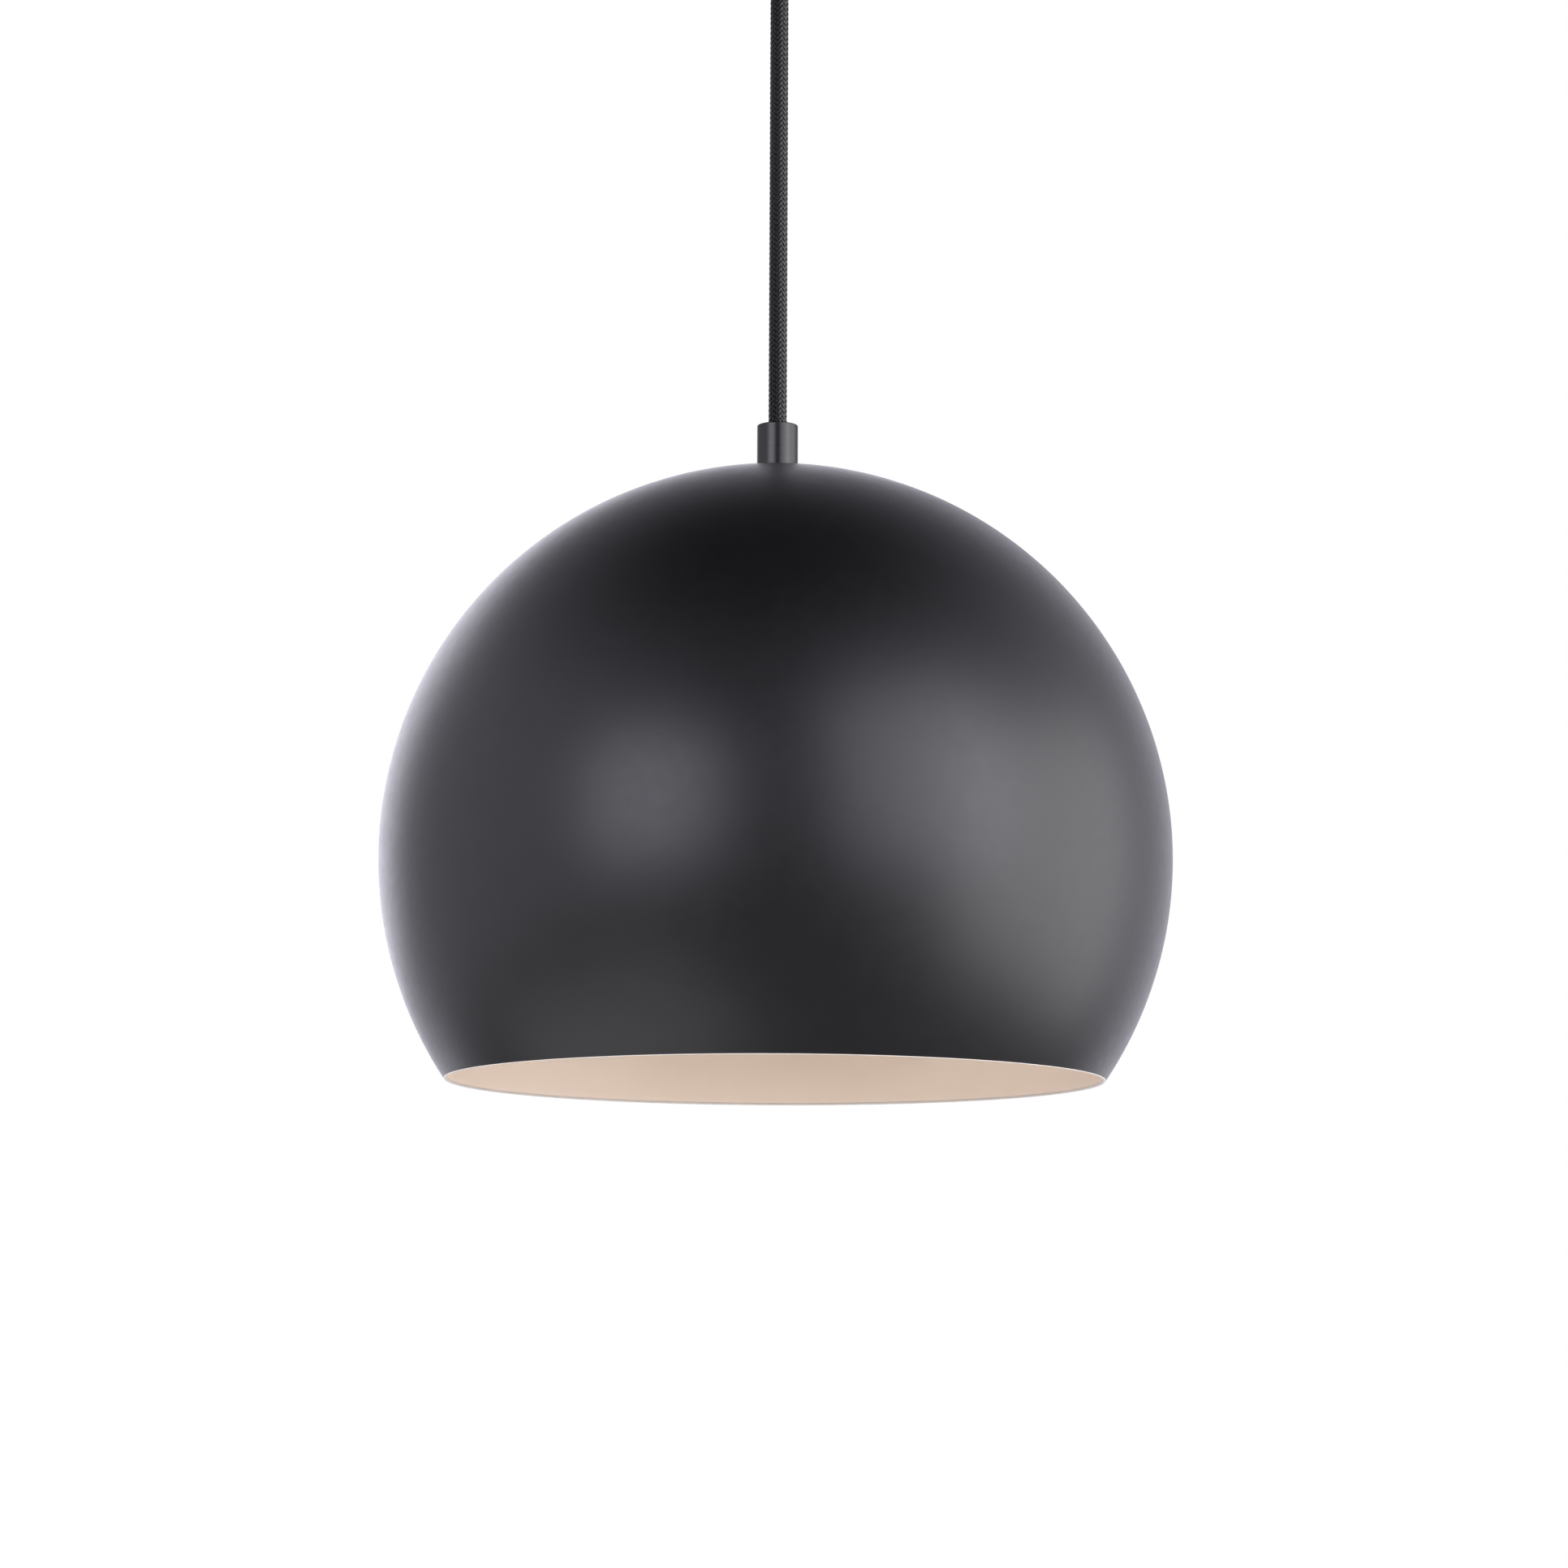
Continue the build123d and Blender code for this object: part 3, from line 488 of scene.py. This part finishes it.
phosphor = coated(
    "chip_phosphor",
    colour=(0.80, 0.58, 0.06), tint=(0.72, 0.50, 0.05), tint_scale=900.0,
    roughness=0.50, rough_spread=0.06, rough_scale=1200.0,
    bump_scale=3000.0, bump_height=6e-6,
)


# Materials of the cores and the braid

def plain_skin(name, colour, tint):
    """Insulation of one colour."""
    return coated(
        name,
        colour=colour, tint=tint, tint_scale=300.0,
        roughness=0.36, rough_spread=0.06, rough_scale=600.0,
        bump_scale=1500.0, bump_height=6e-6,
    )


def striped_skin():
    """Green insulation with a yellow stripe that winds round the core."""
    green = (0.03, 0.20, 0.04)
    yellow = (0.72, 0.56, 0.03)
    stripe_scale = 75.0
    stripe_edge = (0.46, 0.54)
    rough_range = (0.32, 0.44)
    rough_scale = 600.0
    bump_scale = 1500.0
    bump_height = 6e-6
    made, tree, surface = new_material("green_yellow_insulation")
    place = object_place(tree)
    bands = add_node(tree, "ShaderNodeTexWave", Vector=place, Scale=stripe_scale)
    bands.bands_direction = "DIAGONAL"
    share = spread(tree, bands.outputs["Fac"], 0.0, 1.0, *stripe_edge)
    cover(
        tree,
        surface,
        Base_Color=mixed(tree, share, green, yellow),
        Roughness=spread(tree, noise(tree, place, rough_scale), *rough_range),
        Normal=relief(tree, noise(tree, place, bump_scale), bump_height),
    )
    return made


def braid_yarn():
    """Black polyester yarn: filaments run along each strand, by the strand's own coordinates."""
    # Filament tone that also follows the relief: darker in its hollows as painted shade, lighter on its
    # crests as painted light
    painted_shade_hollow = (0.008, 0.008, 0.0086)
    crest = (0.034, 0.034, 0.0355)
    rough_range = (0.56, 0.37)
    bump_height = 6e-5
    filament_stretch = (0.8, 9.0, 1.0)
    made, tree, surface = new_material("braid_yarn")
    along = tree.nodes.new("ShaderNodeUVMap")
    along.uv_map = "strand"
    streak = noise(tree, stretched(tree, along.outputs["UV"], filament_stretch), 1.0, detail=4.0)
    cover(
        tree,
        surface,
        # Colour from the same streak as the relief: painted shade in its hollows, painted light on its
        # crests
        Base_Color=mixed(tree, spread(tree, streak, 0.0, 1.0), painted_shade_hollow, crest),
        Roughness=spread(tree, streak, *rough_range),
        Normal=relief(tree, streak, bump_height),
        Specular_IOR_Level=0.9,
    )
    return made


brown_skin = plain_skin("brown_insulation", (0.11, 0.040, 0.016), (0.085, 0.030, 0.012))
blue_skin = plain_skin("blue_insulation", (0.015, 0.085, 0.38), (0.012, 0.070, 0.32))
striped = striped_skin()
yarn = braid_yarn()

# Every CAD node gets the finish of what it is made of, except that the collar and the gland are plated
finishes = {
    "black_painted_steel": black_coat,
    "zinc_plated_steel": zinc_plate,
    "brass": brass_metal,
    "nickel_plated_brass": nickel_plate,
    "terminal_plastic": terminal_nylon,
    "brown_insulation": brown_skin,
    "blue_insulation": blue_skin,
    "green_yellow_insulation": striped,
    "holder_plastic": holder_moulding,
    "holder_ceramic": glazed_ceramic,
    "bulb_plastic": bulb_moulding,
    "bulb_diffuser": milky_globe,
    "insulator_glass": dark_glass,
    "circuit_board": board_white,
    "driver_board": board_green,
    "chip_phosphor": phosphor,
    "textile_cord": yarn,
    "shade_aluminium": black_coat,
}
for node in frame["nodes"].values():
    slot_name = node.data.materials[0].name
    node.data.materials[0] = finishes[slot_name]
for name in ("shade_collar", "canopy_gland"):
    frame["nodes"][name].data.materials[0] = black_plate


# Camera at the photograph's place, a little below the rim and looking up

camera = bpy.data.objects.new("camera", bpy.data.cameras.new("camera"))
scene.collection.objects.link(camera)
camera.data.sensor_width = camera_sensor
camera.data.lens = camera_lens
camera.location = camera_place
camera.rotation_euler = (radians(90 + camera_pitch), 0.0, -radians(camera_yaw))
camera.rotation_euler.rotate_axis("Z", radians(camera_roll))
scene.camera = camera


# Cord: one braided mesh from the gland to the collar, and its clamped ends

def route_points(name, top, under, count):
    """Points read from a smooth spline down the lamp's axis, in millimetres."""
    curve = bpy.data.curves.new(name, "CURVE")
    curve.dimensions = "3D"
    spline = curve.splines.new("NURBS")
    spline.points.add(count - 1)
    for step, point in enumerate(spline.points):
        height = top + (under - top) * step / (count - 1)
        point.co = (0.0, 0.0, height * MM, 1.0)
    spline.order_u = spline_order
    spline.use_endpoint_u = True
    spline.resolution_u = spline_steps
    carrier = bpy.data.objects.new(name, curve)
    scene.collection.objects.link(carrier)
    line = bpy.data.meshes.new_from_object(carrier)
    points = [vert.co / MM for vert in line.vertices]
    bpy.data.objects.remove(carrier)
    bpy.data.meshes.remove(line)
    bpy.data.curves.remove(curve)
    return points


def station(points, distance):
    """Point at a distance along a run of points; before the first and past the last it goes straight on."""
    last = len(points) - 2
    for number, (start, end) in enumerate(zip(points, points[1:])):
        length = (end - start).length
        if distance <= length or number == last:
            return start + (end - start) * (distance / length)
        distance -= length


def strand_rings(points, total, direction, number):
    """Rings of corners along one strand of the braid; its direction is 1 or -1, for the way it winds.

    It passes over two strands and under two, and each starts two crossings on from the one before. The
    half crossing puts its crest midway between the two that it passes over.
    """
    crossings = 2 * carriers_each_way / braid_lead
    middle = braid_radius - strand_rise - strand_thickness / 2
    length = total + 2 * strand_overrun
    count = round(length * crossings / crossings_per_wave * samples_per_wave)
    centres = []
    outs = []
    for step in range(count + 1):
        along = -strand_overrun + length * step / count
        angle = 2 * pi * (direction * along / braid_lead + number / carriers_each_way)
        phase = 2 * pi / crossings_per_wave * (2 * number + direction * crossings * along - 0.5)
        radius = middle + direction * strand_rise * cos(phase)
        out = Vector((cos(angle), sin(angle), 0.0))
        centres.append(station(points, along) + out * radius)
        outs.append(out)
    rings = []
    for step, (centre, out) in enumerate(zip(centres, outs)):
        before = centres[max(step - 1, 0)]
        after = centres[min(step + 1, count)]
        side = (after - before).normalized().cross(out)
        ring = []
        for across, proud in strand_corners:
            ring.append(centre + side * across * strand_width + out * proud * strand_thickness)
        rings.append(ring)
    return rings


def sheath_outline(top, under, rounded):
    """Outline of the sheath under the braid, with round or flat ends."""
    radius = braid_radius - 2 * strand_rise - strand_thickness
    if not rounded:
        return [(0.0, top), (radius, top), (radius, under), (0.0, under)]
    upper_end = arc((0.0, top), radius, 90, 0, sheath_end_steps)
    lower_end = arc((0.0, under), radius, 0, -90, sheath_end_steps)
    return [(0.0, top + radius), *upper_end[1:], *lower_end[:-1], (0.0, under - radius)]


def braided_cord(points, name, body, replaced, rounded):
    """Sheath with a braid of strands over it; rounded ends turn freely in the mouths that they go into."""
    total = sum((end - start).length for start, end in zip(points, points[1:]))
    corner_count = len(strand_corners)
    verts, faces, _ = lathe(sheath_outline(points[0].z, points[-1].z, rounded), sheath_segments)
    places = [(0.0, 0.0)] * len(verts)
    for direction in (1, -1):
        for number in range(carriers_each_way):
            rings = strand_rings(points, total, direction, number)
            corners = [corner for ring in rings for corner in ring]
            append_mesh(verts, faces, corners, tube_faces(len(rings), corner_count))
            for step in range(len(rings)):
                along = total * step / (len(rings) - 1) + strand_shift_along * number
                for corner in range(corner_count):
                    places.append((along, corner / corner_count + strand_shift_across * number))
    piece = add_piece(name, verts, faces, body, replaced, [yarn])
    layer = piece.data.uv_layers.new(name="strand")
    for loop in piece.data.loops:
        layer.data[loop.index].uv = places[loop.vertex_index]
    return piece


free_points = route_points("free_route", upper_pivot, lower_pivot, free_route_points)
free_nodes = ("cord_upper_bend", "cord_upper", "cord_lower", "cord_lower_bend")
free_cord = braided_cord(free_points, "free_cord", None, free_nodes, rounded=True)
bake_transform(free_cord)

head_under = upper_pivot + clamped_end_gap
tail_top = lower_pivot - clamped_end_gap
head_points = route_points("head_route", cord_head_top, head_under, clamped_route_points)
tail_points = route_points("tail_route", tail_top, cord_tail_under, clamped_route_points)
head_braid = braided_cord(head_points, "cord_head_braid", "canopy", ["cord_head"], rounded=False)
tail_braid = braided_cord(tail_points, "cord_tail_braid", "shade", ["cord_tail"], rounded=False)


# Shade: spun shell with a rounded lip

def shell_point(angle, radius):
    """Point of the shade's outline at an angle above the equator, in degrees."""
    return radius * cos(radians(angle)), shade_centre + radius * sin(radians(angle))


def build_shade():
    """Shade turned from its outline: black outside, white on the lip, grey on the rest of the rim, cream
    inside.
    """
    inner_radius = shade_radius - shade_wall
    rim_angle = -degrees(acos(opening_radius / shade_radius))
    round_angle = rim_angle + degrees(rim_rounding / (shade_radius - rim_rounding))
    lip_angle = round_angle + degrees(white_lip / shade_radius)
    top_angle = degrees(acos(shade_hole / shade_radius))
    inner_top_angle = degrees(acos(shade_hole / inner_radius))
    middle = (0.0, shade_centre)
    outer_middle = shell_point(round_angle, shade_radius - rim_rounding)
    inner_middle = shell_point(round_angle, inner_radius + rim_rounding)
    outside = arc(middle, shade_radius, top_angle, lip_angle, outside_steps)
    outer_rounding = arc(outer_middle, rim_rounding, round_angle, round_angle - 90, rim_steps)
    inner_rounding = arc(inner_middle, rim_rounding, round_angle - 90, round_angle - 180, rim_steps)
    inside = arc(middle, inner_radius, round_angle, inner_top_angle, inside_steps)
    verts, faces, steps = lathe(outside + outer_rounding + inner_rounding + inside[1:], shade_segments)
    coats = [black_coat, white_edge, grey_edge, cream_coat]
    piece = add_piece("shade_shell", verts, faces, "shade", ["shade"], coats)
    step_coats = [black_coat] * (len(outside) - 1)
    step_coats += [white_edge] * (1 + white_steps)
    step_coats += [grey_edge] * (len(outer_rounding) + len(inner_rounding) - 1 - white_steps)
    step_coats += [cream_coat] * (len(inside) - 1)
    step_coats += [black_coat]
    for face, step in zip(piece.data.polygons, steps):
        face.material_index = coats.index(step_coats[step])


build_shade()


# Screw cap of the bulb, and the lamp holder's shell, with rolled threads

def rolled_thread(top, depth, root):
    """Ripple for a lathe: a round thread that fades in at its start and out at its end."""
    def ripple(radius, height, angle):
        turn = (top - height) / thread_pitch
        if radius < root or not 0 <= turn <= thread_turns:
            return radius
        fade = min(1.0, turn / thread_fade_turns, (thread_turns - turn) / thread_fade_turns)
        return radius + depth * fade * (1 - cos(2 * pi * turn - angle)) / 2
    return ripple


def thread_heights(top):
    """Heights of the rings along a thread."""
    length = thread_turns * thread_pitch
    count = round(length / thread_step)
    return [top - length * step / count for step in range(count + 1)]


def build_screw_cap():
    """Thin cap closed at the top, with a plain skirt below its thread."""
    skirt_under = cap_top - thread_turns * thread_pitch - cap_skirt
    bore = cap_root - cap_wall
    inner_top = cap_top - cap_wall
    outline = [(0.0, cap_top), (cap_root - cap_chamfer, cap_top)]
    outline += [(cap_root, height) for height in thread_heights(cap_top)]
    outline += [(cap_root, skirt_under), (bore, skirt_under), (bore, inner_top), (0.0, inner_top)]
    verts, faces, _ = lathe(outline, thread_segments, rolled_thread(cap_top, cap_depth, cap_root))
    piece = add_piece("screw_cap_threaded", verts, faces, "bulb",
                      ["bulb_screw_cap"], [nickel_plate])
    piece.data.set_sharp_from_angle(angle=radians(sharp_angle))


def shell_tongue():
    """Vertices and faces of the flat tongue that reaches in from the shell's flange."""
    turn = radians(tongue_angle)
    half = tongue_width / 2
    corners = ((tongue_start, -half), (shell_radius, -half), (shell_radius, half), (tongue_start, half))
    heights = (shell_top, shell_top - shell_wall)
    verts = []
    for height in heights:
        for out, side in corners:
            verts.append((out * cos(turn) - side * sin(turn), out * sin(turn) + side * cos(turn), height))
    return verts, tube_faces(len(heights), len(corners))


def shell_rivet():
    """Vertices and faces of the rivet that stands on the tongue."""
    turn = radians(tongue_angle)
    top = shell_top + rivet_length
    under = shell_top - shell_wall / 2
    outline = [(0.0, top), (rivet_radius, top), (rivet_radius, under), (0.0, under)]
    verts, faces, _ = lathe(outline, rivet_segments)
    moved = []
    for across, back, height in verts:
        moved.append((across + rivet_distance * cos(turn), back + rivet_distance * sin(turn), height))
    return moved, faces


def build_screw_shell():
    """Shell with a flange at its top, and the tongue and rivet that join it to the neutral terminal."""
    shell_under = shell_top - shell_length
    outer_radius = shell_radius + shell_wall
    thread_top = shell_top - shell_wall
    heights = thread_heights(thread_top)
    outline = [(shell_flange, shell_top), (outer_radius, shell_top)]
    outline += [(outer_radius, height) for height in heights]
    outline += [(outer_radius, shell_under), (shell_radius, shell_under)]
    outline += [(shell_radius, height) for height in reversed(heights)]
    outline += [(shell_flange, thread_top)]
    verts, faces, _ = lathe(outline, thread_segments, rolled_thread(thread_top, shell_depth, shell_radius))
    append_mesh(verts, faces, *shell_tongue())
    append_mesh(verts, faces, *shell_rivet())
    piece = add_piece("screw_shell_threaded", verts, faces, "shade",
                      ["holder_screw_shell"], [nickel_plate])
    piece.data.set_sharp_from_angle(angle=radians(sharp_angle))


build_screw_cap()
build_screw_shell()


# Studio: softboxes round the lamp, a pale surround behind it and a pale floor

def keep_off(panel, pieces):
    """Lets a panel light everything but these pieces."""
    shaded = bpy.data.collections.new(panel.name + "_flag")
    for piece in pieces:
        shaded.objects.link(piece)
    for entry in shaded.collection_objects:
        entry.light_linking.link_state = "EXCLUDE"
    panel.light_linking.receiver_collection = shaded


def softbox(name, azimuth, elevation, half_width, half_height, brightness, colour,
            mirrored=True, flagged=()):
    """Panel that faces the shade; angles in degrees, azimuth from the front and positive to the right.

    A panel that isn't mirrored lights the object but doesn't show in its gloss. Flagged pieces get none
    of its light, as behind a card on a stand.
    """
    turn = radians(azimuth)
    rise = radians(elevation)
    direction = Vector((sin(turn) * cos(rise), -cos(turn) * cos(rise), sin(rise)))
    data = bpy.data.lights.new(name, "AREA")
    data.shape = "RECTANGLE"
    data.size = 2 * light_distance * tan(radians(half_width))
    data.size_y = 2 * light_distance * tan(radians(half_height))
    data.color = colour
    data.energy = brightness * pi * data.size * data.size_y
    panel = bpy.data.objects.new(name, data)
    scene.collection.objects.link(panel)
    panel.location = lamp_middle + direction * light_distance
    panel.rotation_mode = "QUATERNION"
    panel.rotation_quaternion = direction.to_track_quat("Z", "Y")
    panel.visible_camera = False
    panel.visible_glossy = mirrored
    if flagged:
        keep_off(panel, flagged)


def fill(name, azimuth, brightness, flagged=()):
    """Low panel that evens out the light and doesn't show in the gloss."""
    softbox(name, azimuth, fill_elevation, fill_half_width, fill_half_height, brightness, neutral_light,
            mirrored=False, flagged=flagged)


def build_lights():
    """Panels round the lamp.

    The cord and the collar's edge are dark on their left, so panels there and in front are flagged off
    them.
    """
    cord_pieces = (free_cord, head_braid, tail_braid)
    cord_and_collar = (*cord_pieces, frame["nodes"]["shade_collar"])
    softbox("softbox_left", azimuth=-34.0, elevation=10.5, half_width=17.5, half_height=16.5,
            brightness=2.28, colour=cool_light, flagged=cord_pieces)
    softbox("softbox_right_front", azimuth=42.0, elevation=16.5, half_width=24.5, half_height=23.5,
            brightness=1.69, colour=cool_light)
    softbox("softbox_right", azimuth=84.0, elevation=-1.0, half_width=33.0, half_height=28.5,
            brightness=1.45, colour=neutral_light)
    softbox("softbox_behind_left", azimuth=-162.0, elevation=14.5, half_width=22.5, half_height=16.5,
            brightness=1.8, colour=cool_light, flagged=cord_and_collar)
    softbox("softbox_low_left", azimuth=-68.5, elevation=-61.0, half_width=33.0, half_height=29.0,
            brightness=0.60, colour=neutral_light)
    fill("fill_left", azimuth=-65.0, brightness=3.25, flagged=cord_pieces)
    fill("fill_front", azimuth=0.0, brightness=3.05, flagged=cord_pieces)
    fill("fill_right", azimuth=65.0, brightness=2.95)


def build_world():
    """White to the camera; to the object a pale surround behind and beside it, dark above and in front."""
    world = bpy.data.worlds.new("studio")
    scene.world = world
    world.use_nodes = True
    tree = world.node_tree
    tree.nodes.clear()
    surface = tree.nodes.new("ShaderNodeOutputWorld").inputs["Surface"]
    direction = tree.nodes.new("ShaderNodeTexCoord").outputs["Generated"]
    parts = add_node(tree, "ShaderNodeSeparateXYZ", Vector=direction)
    beside = spread(tree, parts.outputs["Y"], 0.0, beside_brightness, *beside_range)
    behind = spread(tree, parts.outputs["Y"], 0.0, behind_brightness, *behind_range)
    lower = spread(tree, parts.outputs["Z"], 1.0, 0.0, *height_range)
    surround = combined(tree, "MULTIPLY", combined(tree, "ADD", beside, behind), lower)
    rays = tree.nodes.new("ShaderNodeLightPath")
    seen = combined(tree, "MAXIMUM", rays.outputs["Is Camera Ray"], rays.outputs["Is Transmission Ray"])
    pale = add_node(tree, "ShaderNodeBackground", Color=(*cool_light, 1.0), Strength=surround)
    white = add_node(tree, "ShaderNodeBackground", Color=(1.0, 1.0, 1.0, 1.0), Strength=1.0)
    either = tree.nodes.new("ShaderNodeMixShader")
    share, unseen_shader, seen_shader = either.inputs
    tree.links.new(seen, share)
    tree.links.new(pale.outputs["Background"], unseen_shader)
    tree.links.new(white.outputs["Background"], seen_shader)
    tree.links.new(either.outputs["Shader"], surface)


def floor_material():
    """White to the camera with a faint shadow, and a glow that lights the shade's inside."""
    made, tree, surface = new_material("pale_floor")
    rays = tree.nodes.new("ShaderNodeLightPath")
    away = tree.nodes.new("ShaderNodeVectorMath")
    away.operation = "LENGTH"
    feed(tree, away.inputs["Vector"], object_place(tree))
    white = spread(tree, away.outputs["Value"], floor_near_white, floor_far_white, floor_near, floor_radius)
    brightnesses = {
        "Is Camera Ray": white,
        "Is Transmission Ray": white,
        "Is Glossy Ray": floor_in_gloss,
        "Is Diffuse Ray": floor_on_object,
    }
    strength = 0.0
    for ray, brightness in brightnesses.items():
        share = combined(tree, "MULTIPLY", rays.outputs[ray], brightness)
        strength = combined(tree, "ADD", share, strength)
    glow = add_node(tree, "ShaderNodeEmission", Color=(1.0, 1.0, 1.0, 1.0), Strength=strength)
    matt = add_node(tree, "ShaderNodeBsdfDiffuse", Color=(floor_grey, floor_grey, floor_grey, 1.0))
    both = tree.nodes.new("ShaderNodeAddShader")
    first, second = both.inputs
    tree.links.new(glow.outputs["Emission"], first)
    tree.links.new(matt.outputs["BSDF"], second)
    tree.links.new(both.outputs["Shader"], surface)
    return made


def build_floor():
    """Round pale floor far below the lamp."""
    mesh = bpy.data.meshes.new("floor")
    turns = [2 * pi * step / floor_corners for step in range(floor_corners)]
    ring = [(floor_radius * cos(turn), floor_radius * sin(turn), 0.0) for turn in turns]
    mesh.from_pydata(ring, [], [tuple(range(floor_corners))])
    mesh.materials.append(floor_material())
    floor = bpy.data.objects.new("floor", mesh)
    floor.location.z = floor_height
    scene.collection.objects.link(floor)


build_lights()
build_world()
build_floor()
